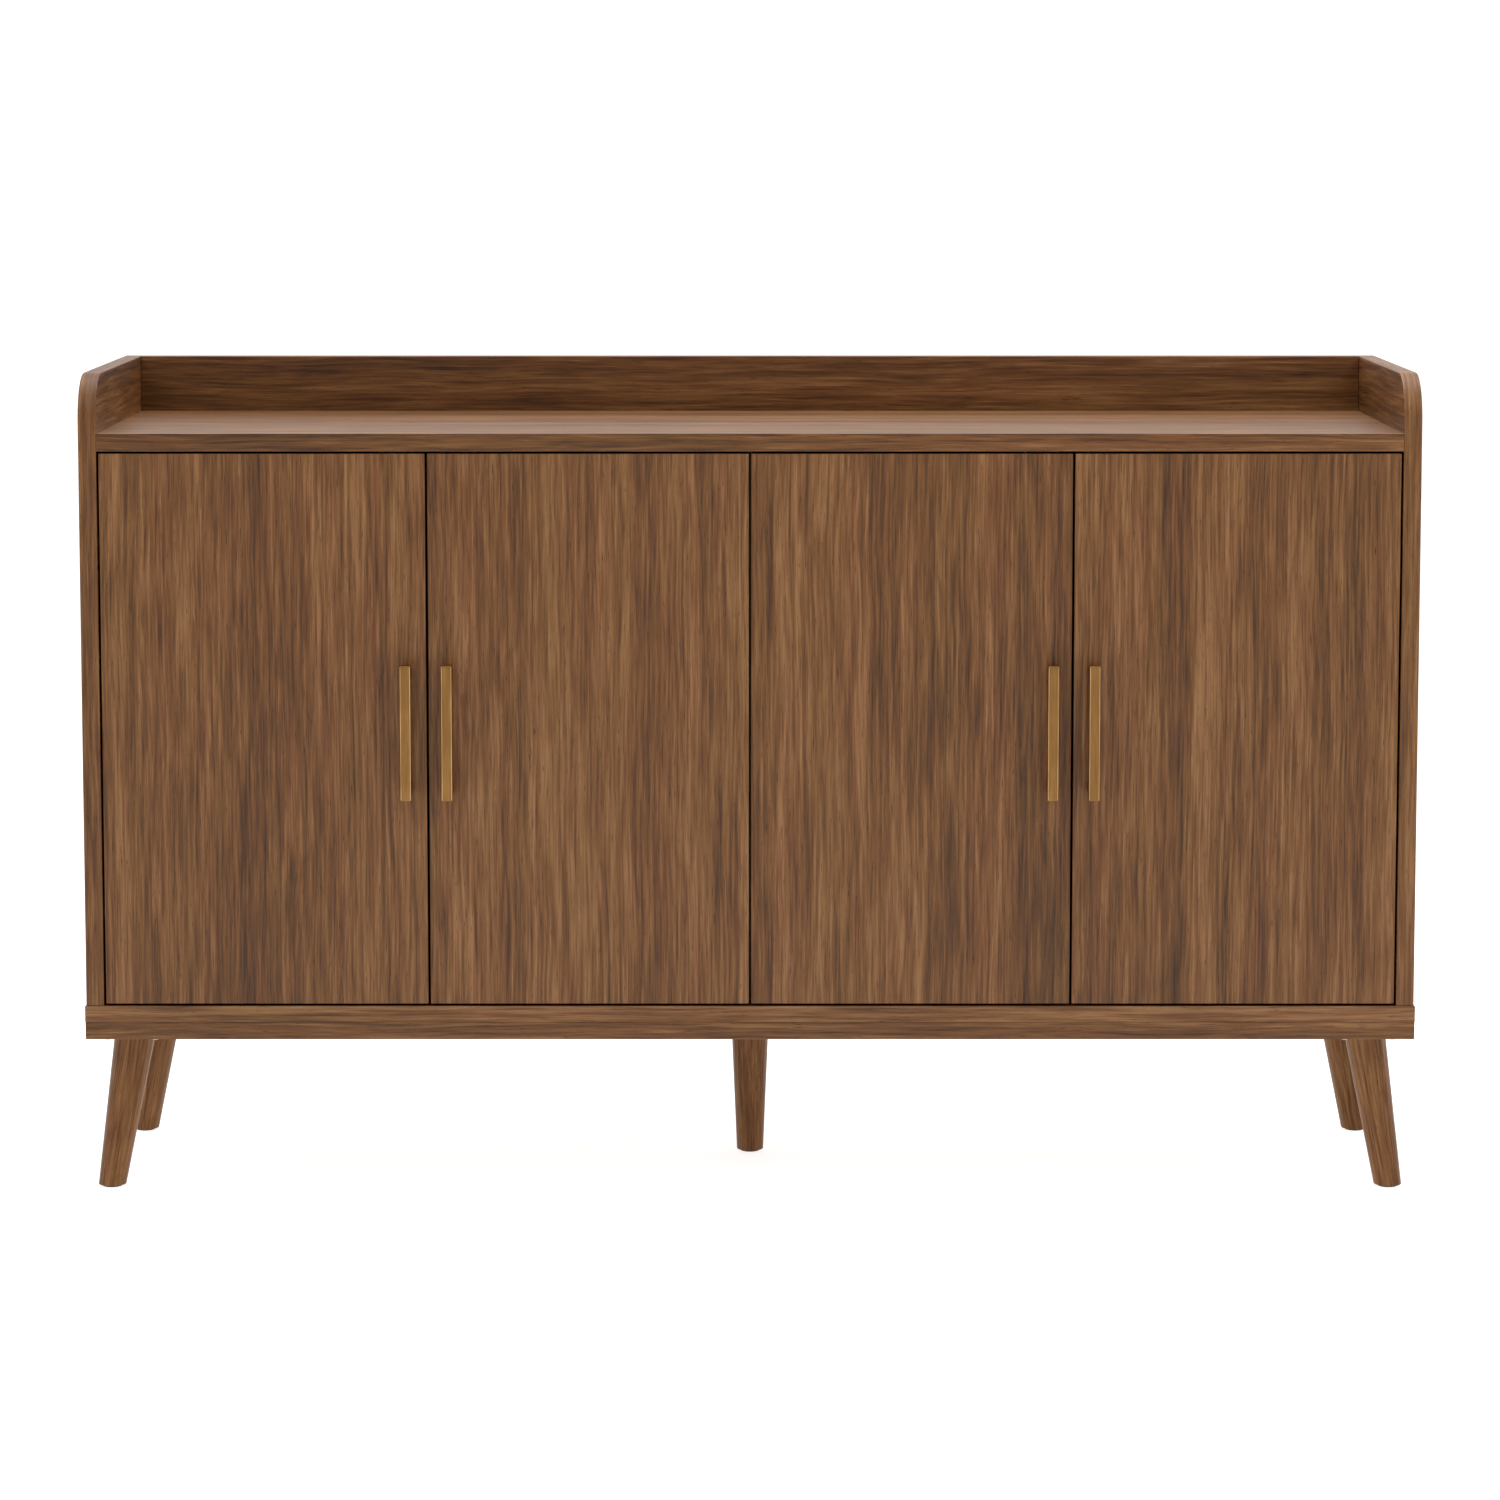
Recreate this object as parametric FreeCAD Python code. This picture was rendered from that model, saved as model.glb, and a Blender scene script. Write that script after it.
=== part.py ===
"""Sideboard buffet with four hinged doors, a raised gallery round the top and five tapered legs.

Frame: X runs to the right along the width, Y runs to the back, Z runs up. The origin is on the
floor under the middle of the whole object, handles included. All lengths are in millimetres.
"""
import FreeCAD, Part
import math
import os

from FreeCAD import Vector

# ---- driving dimensions: the whole object -------------------------------------------------------
total_width = 1500.0            # base board, end to end
total_height = 930.0
carcass_depth = 400.0           # side panels, front edge to back edge
handle_projection = 28.0        # handle face in front of the door face
base_proud = 1.5                # base board stands this far past the sides and the doors

# ---- boards -------------------------------------------------------------------------------------
side_thick = 20.0
top_thick = 20.0
upstand_thick = 20.0
upstand_housing = 2.0           # depth of the rebate in the top panel that the upstand stands in
partition_thick = 18.0
shelf_thick = 18.0
door_thick = 18.0
back_thick = 3.0
base_board_thick = 18.0
base_rail_thick = 20.0
base_rail_wide = 110.0
base_rail_inset = 0.3           # rails stand back this far under the edge of the base board
centre_rail_wide = 100.0
gallery_height = 65.0           # sides and upstand above the top panel
side_corner_radius = 52.0       # front top corner of each side panel
rebate_wide = 8.5               # rebate that takes the edge of a back panel
back_lap = 8.0
partition_setback = 30.0        # front edge of the partition behind the door face
shelf_setback = 40.0
shelf_z = 522.0                 # underside of the shelves, on the middle row of pin holes
shelf_gap = 1.0
pin_columns = (-100.0, 170.0)   # Y of the two columns of shelf pin holes
door_gap = 2.5                  # between doors, and between doors and carcass
meet_x = 361.25                 # middle of the gap between an outer and an inner door
door_edge_radius = 1.0

# ---- legs ---------------------------------------------------------------------------------------
leg_height = 180.0              # floor to underside of the base rails
leg_top_dia = 46.0
leg_foot_dia = 31.0
leg_top_x = 701.0               # corner legs lean outwards, from this to leg_foot_x
leg_foot_x = 729.0
front_leg_depth = 50.0          # leg axes behind the carcass front
centre_leg_depth = 225.0
rear_leg_depth = 335.0
leg_plate_side = 70.0
leg_plate_thick = 2.5
leg_plate_hole = 27.0           # screw holes from the middle of the plate, both ways
glide_dia = 22.0
glide_thick = 2.0

# ---- door fittings ------------------------------------------------------------------------------
handle_section = 12.0
handle_length = 152.0
handle_post_pitch = 128.0
handle_from_gap = 23.0          # bar centre from the middle of the gap that two handles share
hinge_inset = 100.0             # hinge centres from the top and bottom edges of a door
pin_from_edge = 19.0            # hinge axis from the hinged edge of the door
pin_from_face = 7.3             # hinge axis behind the door face
pin_radius = 1.25
pin_clearance = 0.05
knuckle_radius = 2.2
cup_radius = 17.5
cup_depth = 14.0
cup_wall = 0.8
cup_from_edge = 22.5
flange_thick = 1.2
arm_thick = 1.8
arm_wide = 12.0
catch_from_gap = 35.0           # middle of a magnetic catch from the middle of the shared gap

# ---- levels and planes worked out from the above ------------------------------------------------
front_y = -(carcass_depth + handle_projection) / 2.0 + handle_projection
back_y = front_y + carcass_depth
rail_z = leg_height
board_z = rail_z + base_rail_thick
floor_z = board_z + base_board_thick
top_z = total_height - gallery_height
top_under_z = top_z - top_thick
outer_x = total_width / 2.0 - base_proud
inner_x = outer_x - side_thick
half_part = partition_thick / 2.0
door_low_z = floor_z + door_gap
door_high_z = top_under_z - door_gap
door_mid_z = (door_low_z + door_high_z) / 2.0
door_back_y = front_y + door_thick
hinge_levels = (door_low_z + hinge_inset, door_high_z - hinge_inset)
back_face_y = back_y - back_thick

nodes = {}


# ---- small builders -----------------------------------------------------------------------------
def block(x0, x1, y0, y1, z0, z1):
    """A box between two opposite corners, given in any order along X."""
    low, high = min(x0, x1), max(x0, x1)
    return Part.makeBox(high - low, y1 - y0, z1 - z0, Vector(low, y0, z0))


def rod(radius, start, end):
    """A cylinder from one point to another."""
    run = Vector(*end) - Vector(*start)
    return Part.makeCylinder(radius, run.Length, Vector(*start), run)


def joined(shapes):
    """One solid from shapes that overlap or touch."""
    whole = shapes[0].multiFuse(shapes[1:])
    return whole.removeSplitter()


def group(shapes):
    """Several separate solids kept together in one node."""
    return Part.makeCompound(shapes)


def minus(shape, *cutters):
    """The shape with every cutter taken out of it."""
    for cutter in cutters:
        shape = shape.cut(cutter)
    return shape


def screw(tip_to_head, head, shank_dia, head_dia, head_high, length):
    """A screw whose head lies at a point; its shank runs along a direction.

    A countersunk head tapers into the shank below the surface, and a pan head is a flat
    cylinder that stands on the surface.
    """
    kind, point = head
    along = Vector(*tip_to_head)
    start = Vector(*point)
    if kind == "countersunk":
        top = Part.makeCone(head_dia / 2.0, shank_dia / 2.0, head_high, start, along)
        shank = Part.makeCylinder(shank_dia / 2.0, length, start, along)
    else:
        top = Part.makeCylinder(head_dia / 2.0, head_high, start, along * -1.0)
        shank = Part.makeCylinder(shank_dia / 2.0, length, start, along)
    return joined([top, shank])


# ---- fasteners of the carcass -------------------------------------------------------------------
def make_carcass_screws():
    """Long screws that come up through the base board into the sides and the partition."""
    spots = [(sx * (outer_x - side_thick / 2.0), y) for sx in (-1, 1) for y in (-140.0, 14.0, 168.0)]
    spots += [(0.0, y) for y in (-110.0, 30.0, 170.0)]
    return [screw((0, 0, 1), ("countersunk", (x, y, board_z)), 7.0, 10.0, 3.0, 50.0) for x, y in spots]


def make_frame_screws():
    """Wood screws that hold the rails of the base frame to the base board."""
    spots = [(x, y) for x in (-600.0, -300.0, -80.0, 80.0, 300.0, 600.0) for y in (-132.0, 158.0)]
    spots += [(sx * 700.0, y) for sx in (-1, 1) for y in (-30.0, 60.0)]
    spots += [(0.0, -45.0), (0.0, 90.0)]
    return [screw((0, 0, 1), ("countersunk", (x, y, rail_z)), 4.0, 8.0, 2.5, 33.0) for x, y in spots]


cam_radius = 7.5
cam_depth = 13.0
cam_from_end = 34.0
cam_rows = (-140.0, 160.0)
joint_z = (top_under_z + top_z) / 2.0


def make_cam_bolts():
    """Bolts screwed into the side panels; their heads end inside the cam nuts."""
    bolts = []
    for sx in (-1, 1):
        for y in cam_rows:
            thread = rod(2.5, (sx * (inner_x + 11.5), y, joint_z), (sx * inner_x, y, joint_z))
            shank_end = inner_x - cam_from_end - 3.0
            shank = rod(3.0, (sx * inner_x, y, joint_z), (sx * shank_end, y, joint_z))
            bolts.append(joined([thread, shank]))
    return bolts


def make_cam_pockets():
    """The round pockets in the underside of the top panel that the cam nuts fill."""
    spots = [(sx * (inner_x - cam_from_end), y) for sx in (-1, 1) for y in cam_rows]
    return [rod(cam_radius, (x, y, top_under_z), (x, y, top_under_z + cam_depth)) for x, y in spots]


def make_dowels():
    """Beech dowels: top to sides, upstand to sides, upstand to top, top to partition."""
    pegs = []
    for sx in (-1, 1):
        ends = (sx * (inner_x + 12.0), sx * (inner_x - 18.0))
        for y, z in ((-60.0, joint_z), (80.0, joint_z), (back_y - upstand_thick / 2.0, top_z + 40.0)):
            pegs.append(rod(4.0, (ends[0], y, z), (ends[1], y, z)))
    for x in (-600.0, -300.0, 0.0, 300.0, 600.0):
        y = back_y - upstand_thick / 2.0
        pegs.append(rod(4.0, (x, y, top_z - 10.0), (x, y, top_z + 20.0)))
    for y in (-110.0, 30.0, 150.0):
        pegs.append(rod(4.0, (0.0, y, top_under_z - 18.0), (0.0, y, top_under_z + 12.0)))
    return pegs


def make_back_panel_screws():
    """Small countersunk screws round the edges of both back panels."""
    spots = []
    for z in (260.0, 400.0, 540.0, 680.0, 820.0):
        spots += [(sx * x, z) for sx in (-1, 1) for x in (5.0, inner_x + 4.2)]
    for z in (top_under_z + 4.0, floor_z - 4.0):
        spots += [(sx * x, z) for sx in (-1, 1) for x in (150.0, 360.0, 570.0)]
    return [screw((0, -1, 0), ("countersunk", (x, back_y, z)), 2.8, 5.6, 1.6, 15.0) for x, z in spots]


# ---- legs and their hardware --------------------------------------------------------------------
def leg_spots():
    """Name, side, and Y of each leg; side 0 is the upright centre leg."""
    return (("front_left_leg", -1, front_y + front_leg_depth),
            ("front_right_leg", 1, front_y + front_leg_depth),
            ("rear_left_leg", -1, front_y + rear_leg_depth),
            ("rear_right_leg", 1, front_y + rear_leg_depth),
            ("centre_leg", 0, front_y + centre_leg_depth))


leg_top_z = rail_z - leg_plate_thick


def leg_axis(side, y):
    """The leg's axis at the plate and at the foot."""
    return Vector(side * leg_top_x, y, leg_top_z), Vector(side * leg_foot_x, y, glide_thick)


def make_leg(side, y):
    """A turned cone along the leaning axis, sawn level at the plate and at the foot."""
    top, foot = leg_axis(side, y)
    run = top - foot
    step = run * (20.0 / run.Length)
    widen = (leg_top_dia - leg_foot_dia) / 2.0 / run.Length * 20.0
    low_radius = leg_foot_dia / 2.0 - widen
    high_radius = leg_top_dia / 2.0 + widen
    cone = Part.makeCone(low_radius, high_radius, run.Length + 40.0, foot - step, run)
    slab = block(-outer_x - 60.0, outer_x + 60.0, y - 60.0, y + 60.0, glide_thick, leg_top_z)
    return cone.common(slab)


def make_leg_plate(side, y):
    """A flat steel plate under a rail, with rounded corners."""
    top, foot = leg_axis(side, y)
    half = leg_plate_side / 2.0
    plate = block(top.x - half, top.x + half, y - half, y + half, leg_top_z, rail_z)
    upright = [edge for edge in plate.Edges if abs(edge.tangentAt(edge.FirstParameter).z) > 0.99]
    return plate.makeFillet(6.0, upright)


def make_leg_bolt(side, y):
    """An M8 stud along the leg's axis, up through the plate into the rail."""
    top, foot = leg_axis(side, y)
    along = (top - foot).normalize()
    return Part.makeCylinder(4.0, 55.0, top - along * 40.0, along)


def make_leg_plate_screws(side, y):
    """Four pan-head screws up through a plate into the rail."""
    top, foot = leg_axis(side, y)
    found = []
    for dx in (-leg_plate_hole, leg_plate_hole):
        for dy in (-leg_plate_hole, leg_plate_hole):
            point = (top.x + dx, y + dy, leg_top_z)
            found.append(screw((0, 0, 1), ("pan", point), 4.0, 8.0, 2.2, 18.0))
    return found


def make_glide(side, y):
    """A plastic glide under the foot with its nail up the leg."""
    top, foot = leg_axis(side, y)
    pad = rod(glide_dia / 2.0, (foot.x, y, 0.0), (foot.x, y, glide_thick))
    nail = rod(1.5, (foot.x, y, 0.5), (foot.x, y, 14.0))
    return joined([pad, nail])


# ---- hinges -------------------------------------------------------------------------------------
pin_y = front_y + pin_from_face


def hinge_sides():
    """For each door: its two edges and the panel face that its hinges are screwed to.

    edge_x is the hinged edge, free_x is the edge at the shared gap, and face_x is the panel
    face beside the hinged edge. inward is +1 where the door runs towards +X from its hinges.
    """
    left_edge = -inner_x + door_gap
    half_gap = door_gap / 2.0
    return (("door_1", left_edge, -meet_x - half_gap, -inner_x, 1),
            ("door_2", -half_gap, -meet_x + half_gap, -half_part, -1),
            ("door_3", half_gap, meet_x - half_gap, half_part, 1),
            ("door_4", -left_edge, meet_x + half_gap, inner_x, -1))


def arm_route(edge_x, face_x, inward):
    """Bend points of a hinge arm in plan, from the pin round behind the door to the panel."""
    pin_x = edge_x + inward * pin_from_edge
    body_x = face_x + inward * 5.5
    return ((pin_x, pin_y),
            (pin_x + inward * 16.5, pin_y + 7.5),
            (pin_x + inward * 17.5, pin_y + 25.0),
            (body_x, pin_y + 25.0))


def strip(start, end, thick, z0, z1):
    """A flat strip on edge between two points in plan."""
    run = Vector(end[0] - start[0], end[1] - start[1], 0)
    bar = Part.makeBox(run.Length, thick, z1 - z0, Vector(0, -thick / 2.0, 0))
    bar.rotate(Vector(0, 0, 0), Vector(0, 0, 1), math.degrees(math.atan2(run.y, run.x)))
    bar.translate(Vector(start[0], start[1], z0))
    return bar


def make_hinge_arm(edge_x, face_x, inward, z):
    """A bent steel arm: knuckle round the pin, goose neck, and a channel on the plate."""
    route = arm_route(edge_x, face_x, inward)
    z0, z1 = z - arm_wide / 2.0, z + arm_wide / 2.0
    pin_x = route[0][0]
    pieces = [rod(knuckle_radius, (pin_x, pin_y, z0), (pin_x, pin_y, z1))]
    pieces += [strip(a, b, arm_thick, z0, z1) for a, b in zip(route, route[1:])]
    pieces += [rod(arm_thick / 2.0, (x, y, z0), (x, y, z1)) for x, y in route[1:3]]
    channel_y = pin_y + 25.0 - arm_thick / 2.0
    pieces.append(block(face_x + inward * 2.0, face_x + inward * 9.0, channel_y, channel_y + 46.0, z0, z1))
    bore = rod(pin_radius + pin_clearance, (pin_x, pin_y, z0 - 1.0), (pin_x, pin_y, z1 + 1.0))
    return minus(joined(pieces), bore)


def make_hinge_plate(face_x, inward, z):
    """A cross-shaped mounting plate on the panel face under the arm."""
    far_x = face_x + inward * 2.0
    bar = block(face_x, far_x, pin_y + 28.0, pin_y + 70.0, z - 7.0, z + 7.0)
    wings = block(face_x, far_x, pin_y + 38.0, pin_y + 58.0, z - 25.0, z + 25.0)
    return joined([bar, wings])


def make_hinge_fixings(face_x, inward, z):
    """Two screws through the plate's wings and one through the arm into the plate."""
    into = (-inward, 0, 0)
    plate_x = face_x + inward * 2.0
    found = []
    for dz in (-16.0, 16.0):
        found.append(screw(into, ("pan", (plate_x, pin_y + 48.0, z + dz)), 4.0, 7.5, 1.5, 10.0))
    found.append(screw(into, ("pan", (face_x + inward * 9.0, pin_y + 58.0, z)), 3.5, 7.0, 1.2, 9.0))
    return found


def make_cup(edge_x, inward, z):
    """A pressed cup let into the back of the door, with a flange screwed to the door."""
    x = edge_x + inward * cup_from_edge
    bottom_y = door_back_y - cup_depth
    flange_y = door_back_y + flange_thick
    outside = rod(cup_radius, (x, bottom_y, z), (x, door_back_y, z))
    rim = rod(cup_radius + 1.5, (x, door_back_y, z), (x, flange_y, z))
    wings = block(x - inward * 5.0, x + inward * 16.0, door_back_y, flange_y, z - 31.0, z + 31.0)
    hollow = rod(cup_radius - cup_wall, (x, bottom_y + cup_wall, z), (x, flange_y + 1.0, z))
    return minus(joined([outside, rim, wings]), hollow)


def make_pin(edge_x, inward, z):
    """The hinge pin, held at both ends in the wall of the cup."""
    x = edge_x + inward * pin_from_edge
    return rod(pin_radius, (x, pin_y, z - 16.9), (x, pin_y, z + 16.9))


def make_cup_screws(edge_x, inward, z):
    """Two screws through the flange into the door."""
    x = edge_x + inward * (cup_from_edge + 9.0)
    face_y = door_back_y + flange_thick
    return [screw((0, -1, 0), ("pan", (x, face_y, z + dz)), 3.5, 7.0, 1.6, 12.0) for dz in (-24.0, 24.0)]


# ---- doors, handles and catches -----------------------------------------------------------------
def make_door_panel(edge_x, free_x):
    """A flat door with its front edges eased."""
    panel = block(edge_x, free_x, front_y, door_back_y, door_low_z, door_high_z)
    front = [edge for edge in panel.Edges
             if all(abs(vertex.Y - front_y) < 0.01 for vertex in edge.Vertexes)]
    return panel.makeFillet(door_edge_radius, front)


def make_handle(x):
    """A square bar on two square posts."""
    half = handle_section / 2.0
    face_y = front_y - handle_projection
    bar_back_y = face_y + handle_section
    low_z = door_mid_z - handle_length / 2.0
    pieces = [block(x - half, x + half, face_y, bar_back_y, low_z, low_z + handle_length)]
    for sz in (-1, 1):
        z = door_mid_z + sz * handle_post_pitch / 2.0
        pieces.append(block(x - half, x + half, bar_back_y, front_y, z - half, z + half))
    return joined(pieces)


def make_handle_screws(x):
    """Two machine screws from the back of the door into the handle's posts."""
    found = []
    for sz in (-1, 1):
        point = (x, door_back_y, door_mid_z + sz * handle_post_pitch / 2.0)
        found.append(screw((0, -1, 0), ("pan", point), 4.0, 8.0, 2.4, door_thick + 10.0))
    return found


strike_low_z = door_high_z - 13.0
strike_high_z = door_high_z - 1.0


def make_strike(x):
    """The steel plate that the magnet holds."""
    return block(x - 17.0, x + 17.0, door_back_y, door_back_y + 1.0, strike_low_z, strike_high_z)


def make_strike_screw(x):
    """One countersunk screw through the strike plate."""
    point = (x, door_back_y + 1.0, (strike_low_z + strike_high_z) / 2.0)
    return screw((0, -1, 0), ("countersunk", point), 2.8, 5.0, 1.0, 11.0)


def make_catch(x):
    """A magnetic catch under the top panel, with a foot for its screws."""
    case_y = door_back_y + 1.3
    case = block(x - 12.0, x + 12.0, case_y, case_y + 18.0, top_under_z - 14.0, top_under_z)
    foot = block(x - 22.0, x + 22.0, case_y + 6.0, case_y + 18.0, top_under_z - 2.0, top_under_z)
    return joined([case, foot])


def make_catch_screws(x):
    """Two screws up through the foot of a catch."""
    y = door_back_y + 13.3
    return [screw((0, 0, 1), ("pan", (x + dx, y, top_under_z - 2.0)), 3.0, 6.0, 1.4, 12.0)
            for dx in (-17.0, 17.0)]


# ---- boards of the carcass ----------------------------------------------------------------------
def pin_holes(face_x, into, deep):
    """Two columns of holes for the shelf pins, bored into one panel face."""
    level = shelf_z - 2.5
    holes = []
    for y in pin_columns:
        for step in range(-4, 5):
            z = level + 32.0 * step
            holes.append(rod(2.5, (face_x, y, z), (face_x + into * deep, y, z)))
    return holes


def make_side_panel(side, cutters):
    """An end panel with a rounded front top corner and a rebate for the back panel."""
    panel = block(side * inner_x, side * outer_x, front_y, back_y, floor_z, total_height)
    corner = [edge for edge in panel.Edges
              if all(abs(v.Y - front_y) < 0.01 and abs(v.Z - total_height) < 0.01 for v in edge.Vertexes)]
    panel = panel.makeFillet(side_corner_radius, corner)
    rebate = block(side * inner_x, side * (inner_x + rebate_wide), back_face_y, back_y,
                   floor_z, top_under_z + rebate_wide)
    return minus(panel, rebate, *(pin_holes(side * inner_x, side, 8.0) + cutters))


def make_partition(cutters):
    """The upright between the two cupboards."""
    panel = block(-half_part, half_part, front_y + partition_setback, back_face_y, floor_z, top_under_z)
    holes = pin_holes(-half_part, 1, 6.0) + pin_holes(half_part, -1, 6.0)
    return minus(panel, *(holes + cutters))


def make_top_panel(cutters):
    """The top between the sides, rebated for the upstand above and for the back panels underneath."""
    panel = block(-inner_x, inner_x, front_y, back_y, top_under_z, top_z)
    rebate = block(-inner_x, inner_x, back_face_y, back_y, top_under_z, top_under_z + rebate_wide)
    housing = block(-inner_x, inner_x, back_y - upstand_thick, back_y, top_z - upstand_housing, top_z)
    return minus(panel, rebate, housing, *cutters)


def make_base_board(cutters):
    """The cupboard floor, whose edge shows as the upper half of the base."""
    half = total_width / 2.0
    board = block(-half, half, front_y - base_proud, back_y, board_z, floor_z)
    rebate = block(-inner_x - rebate_wide, inner_x + rebate_wide, back_face_y, back_y,
                   floor_z - rebate_wide, floor_z)
    return minus(board, rebate, *cutters)


def base_rails(cutters):
    """The frame under the base board: two long rails, two end rails and a centre rail."""
    half = total_width / 2.0 - base_rail_inset
    low_y = front_y - base_proud + base_rail_inset
    high_y = back_y - base_rail_inset
    mid_low_y, mid_high_y = low_y + base_rail_wide, high_y - base_rail_wide
    end_x = half - base_rail_wide
    plans = {
        "base_front_rail": (-half, half, low_y, mid_low_y),
        "base_rear_rail": (-half, half, mid_high_y, high_y),
        "base_left_rail": (-half, -end_x, mid_low_y, mid_high_y),
        "base_right_rail": (end_x, half, mid_low_y, mid_high_y),
        "base_centre_rail": (-centre_rail_wide / 2.0, centre_rail_wide / 2.0, mid_low_y, mid_high_y),
    }
    return {name: minus(block(*plan, rail_z, board_z), *cutters) for name, plan in plans.items()}


def make_shelf(side):
    """A loose shelf that rests on four pins."""
    return block(side * (half_part + shelf_gap), side * (inner_x - shelf_gap),
                 front_y + shelf_setback, back_face_y - 2.0, shelf_z, shelf_z + shelf_thick)


def make_shelf_pins():
    """Eight steel pins, four under each shelf."""
    level = shelf_z - 2.5
    pins = []
    for side in (-1, 1):
        for y in pin_columns:
            pins.append(rod(2.5, (side * (inner_x + 8.0), y, level), (side * (inner_x - 8.0), y, level)))
            pins.append(rod(2.5, (side * (half_part - 6.0), y, level), (side * (half_part + 8.0), y, level)))
    return pins


def make_back_panel(side):
    """A thin board that closes one cupboard at the back."""
    return block(side * 0.5, side * (inner_x + back_lap), back_face_y, back_y,
                 floor_z - back_lap, top_under_z + back_lap)


# ---- build: fasteners first, because the boards are cut for them --------------------------------
carcass_screws = make_carcass_screws()
frame_screws = make_frame_screws()
cam_bolts = make_cam_bolts()
cam_pockets = make_cam_pockets()
cam_nuts = [minus(pocket, bolt) for pocket, bolt in zip(cam_pockets, cam_bolts)]
dowels = make_dowels()
back_screws = make_back_panel_screws()
leg_bolts = [make_leg_bolt(side, y) for name, side, y in leg_spots()]
plate_screws = [s for name, side, y in leg_spots() for s in make_leg_plate_screws(side, y)]
glides = [make_glide(side, y) for name, side, y in leg_spots()]

hinge_arms = []
hinge_plates = []
fitting_screws = []
catches = []
for door, edge_x, free_x, face_x, inward in hinge_sides():
    for z in hinge_levels:
        fixings = make_hinge_fixings(face_x, inward, z)
        fitting_screws += fixings
        hinge_arms.append(minus(make_hinge_arm(edge_x, face_x, inward, z), *fixings))
        hinge_plates.append(minus(make_hinge_plate(face_x, inward, z), *fixings))
    catch_x = free_x - inward * (catch_from_gap - door_gap / 2.0)
    fixings = make_catch_screws(catch_x)
    fitting_screws += fixings
    catches.append(minus(make_catch(catch_x), *fixings))

# boards
side_fixings = carcass_screws + cam_bolts + dowels + back_screws + fitting_screws
nodes["left_side_panel"] = make_side_panel(-1, side_fixings)
nodes["right_side_panel"] = make_side_panel(1, side_fixings)
nodes["top_panel"] = make_top_panel(cam_pockets + cam_bolts + dowels + back_screws + fitting_screws)
upstand = block(-inner_x, inner_x, back_y - upstand_thick, back_y, top_z - upstand_housing, total_height)
nodes["back_upstand"] = minus(upstand, *dowels)
nodes["centre_partition"] = make_partition(carcass_screws + dowels + back_screws + fitting_screws)
nodes["base_board"] = make_base_board(carcass_screws + frame_screws + back_screws)
nodes.update(base_rails(frame_screws + leg_bolts + plate_screws))
for name, side in (("left", -1), ("right", 1)):
    nodes[name + "_back_panel"] = minus(make_back_panel(side), *back_screws)
    nodes[name + "_shelf"] = make_shelf(side)

# legs
for name, side, y in leg_spots():
    nodes[name] = minus(make_leg(side, y), *(leg_bolts + glides))
leg_plates = [minus(make_leg_plate(side, y), *(leg_bolts + plate_screws)) for name, side, y in leg_spots()]

# doors
for door, edge_x, free_x, face_x, inward in hinge_sides():
    handle_x = free_x - inward * (handle_from_gap - door_gap / 2.0)
    strike_x = free_x - inward * (catch_from_gap - door_gap / 2.0)
    cup_screws = [s for z in hinge_levels for s in make_cup_screws(edge_x, inward, z)]
    screws = cup_screws + make_handle_screws(handle_x) + [make_strike_screw(strike_x)]
    pins = [make_pin(edge_x, inward, z) for z in hinge_levels]
    bores = [rod(cup_radius, (edge_x + inward * cup_from_edge, door_back_y - cup_depth, z),
                 (edge_x + inward * cup_from_edge, door_back_y, z)) for z in hinge_levels]
    nodes[door + "_panel"] = minus(make_door_panel(edge_x, free_x), *(bores + screws))
    nodes[door + "_handle"] = minus(make_handle(handle_x), *screws)
    nodes[door + "_hinge_cups"] = group([minus(make_cup(edge_x, inward, z), *(pins + cup_screws))
                                         for z in hinge_levels])
    nodes[door + "_hinge_pins"] = group(pins)
    nodes[door + "_strike_plate"] = minus(make_strike(strike_x), *screws)
    nodes[door + "_screws"] = group(screws)

# groups of like fittings and fasteners
nodes["hinge_arms"] = group(hinge_arms)
nodes["hinge_plates"] = group(hinge_plates)
nodes["fitting_screws"] = group(fitting_screws)
nodes["door_catches"] = group(catches)
nodes["shelf_pins"] = group(make_shelf_pins())
nodes["leg_plates"] = group(leg_plates)
nodes["leg_bolts"] = group(leg_bolts)
nodes["leg_plate_screws"] = group(plate_screws)
nodes["foot_glides"] = group(glides)
nodes["cam_nuts"] = group(cam_nuts)
nodes["cam_bolts"] = group(cam_bolts)
nodes["dowels"] = group(dowels)
nodes["carcass_screws"] = group(carcass_screws)
nodes["frame_screws"] = group(frame_screws)
nodes["back_panel_screws"] = group(back_screws)

os.makedirs("parts", exist_ok=True)
for name, shape in nodes.items():
    shape.exportStep("parts/" + name + ".step")
print(len(nodes), "nodes")
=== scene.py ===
"""Looks of the sideboard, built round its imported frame, piece by piece as it is put together."""
import math

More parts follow.
